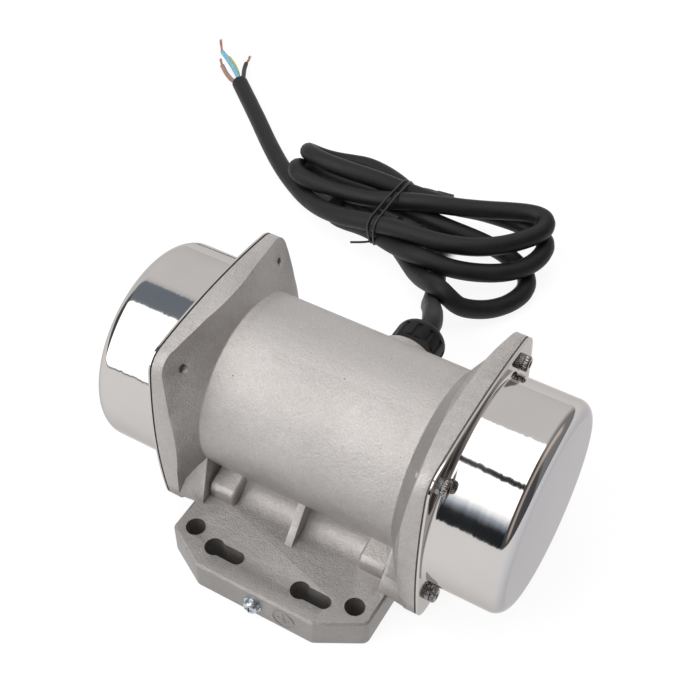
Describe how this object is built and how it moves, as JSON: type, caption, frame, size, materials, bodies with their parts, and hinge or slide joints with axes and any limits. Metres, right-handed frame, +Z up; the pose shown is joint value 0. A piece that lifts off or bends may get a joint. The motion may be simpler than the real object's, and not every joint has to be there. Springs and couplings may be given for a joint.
{
  "type": "vibration motor",
  "caption": "Foot-mounted electric vibration motor with a cast barrel body, drawn end caps over unbalanced weights, and a tied rubber supply cable.",
  "frame": {"origin": "middle of the foot plate's underside", "axes": "+X along the shaft to the right-hand cap, +Y to the side where the cable leaves, +Z up"},
  "size_m": [0.3593, 0.3638, 0.1056],
  "materials": {
    "cast_aluminium": "fine sand-cast, silver grey",
    "polished_steel": "mirror-polished stainless sheet",
    "gasket_rubber": "matt",
    "zinc_plated_steel": "bright zinc plated",
    "bearing_steel": "ground",
    "core_laminations": "stacked sheet, dull",
    "winding_enamel": "enamelled copper under varnish",
    "cage_aluminium": "die cast",
    "shaft_steel": "ground",
    "weight_steel": "oiled, dull",
    "gland_plastic": "moulded, dark grey",
    "cable_rubber": "matt, dark grey",
    "tie_plastic": "black wire tie",
    "core_brown": "smooth",
    "core_blue": "smooth",
    "core_earth": "smooth, green with a yellow stripe",
    "core_black": "smooth",
    "copper_strands": "bare copper strands"
  },
  "bodies": {
    "housing": {"motor_housing": "cast_aluminium", "left_end_cap": "polished_steel", "left_cap_gasket": "gasket_rubber", "left_cap_screws": "zinc_plated_steel", "left_cap_washers": "zinc_plated_steel", "left_bearing_shield": "cast_aluminium", "left_shield_screws": "zinc_plated_steel", "left_bearing_outer_ring": "bearing_steel", "right_end_cap": "polished_steel", "right_cap_gasket": "gasket_rubber", "right_cap_screws": "zinc_plated_steel", "right_cap_washers": "zinc_plated_steel", "right_bearing_shield": "cast_aluminium", "right_shield_screws": "zinc_plated_steel", "right_bearing_outer_ring": "bearing_steel", "stator_core": "core_laminations", "stator_windings": "winding_enamel", "earth_screw": "zinc_plated_steel", "earth_washers": "zinc_plated_steel", "gland_body": "gland_plastic", "gland_nut": "gland_plastic", "gland_seal": "gasket_rubber", "supply_cable": "cable_rubber", "cable_hank": "cable_rubber", "cable_tail": "cable_rubber", "cable_tie": "tie_plastic", "core_brown": "core_brown", "core_blue": "core_blue", "core_earth": "core_earth", "core_black": "core_black", "bare_wire_brown": "copper_strands", "bare_wire_blue": "copper_strands", "bare_wire_earth": "copper_strands", "bare_wire_black": "copper_strands"},
    "rotor": {"rotor_shaft": "shaft_steel", "rotor_core": "core_laminations", "rotor_end_rings": "cage_aluminium", "left_bearing_inner_ring": "bearing_steel", "left_fixed_weight": "weight_steel", "left_weight_key": "shaft_steel", "left_shaft_circlip": "shaft_steel", "right_bearing_inner_ring": "bearing_steel", "right_fixed_weight": "weight_steel", "right_weight_key": "shaft_steel", "right_shaft_circlip": "shaft_steel"},
    "left_adjustable": {"left_adjustable_weight": "weight_steel", "left_clamp_screw": "zinc_plated_steel"},
    "right_adjustable": {"right_adjustable_weight": "weight_steel", "right_clamp_screw": "zinc_plated_steel"}
  },
  "joints": [
    {"name": "rotor_spin", "type": "hinge", "parent": "housing", "child": "rotor", "pos_m": [0, 0, 0.0538], "axis": [1, 0, 0], "continuous": true},
    {"name": "left_weight_setting", "type": "hinge", "parent": "rotor", "child": "left_adjustable", "pos_m": [-0.0823, 0, 0.0538], "axis": [1, 0, 0], "range_deg": [0, 180]},
    {"name": "right_weight_setting", "type": "hinge", "parent": "rotor", "child": "right_adjustable", "pos_m": [0.0823, 0, 0.0538], "axis": [1, 0, 0], "range_deg": [0, 180]}
  ]
}
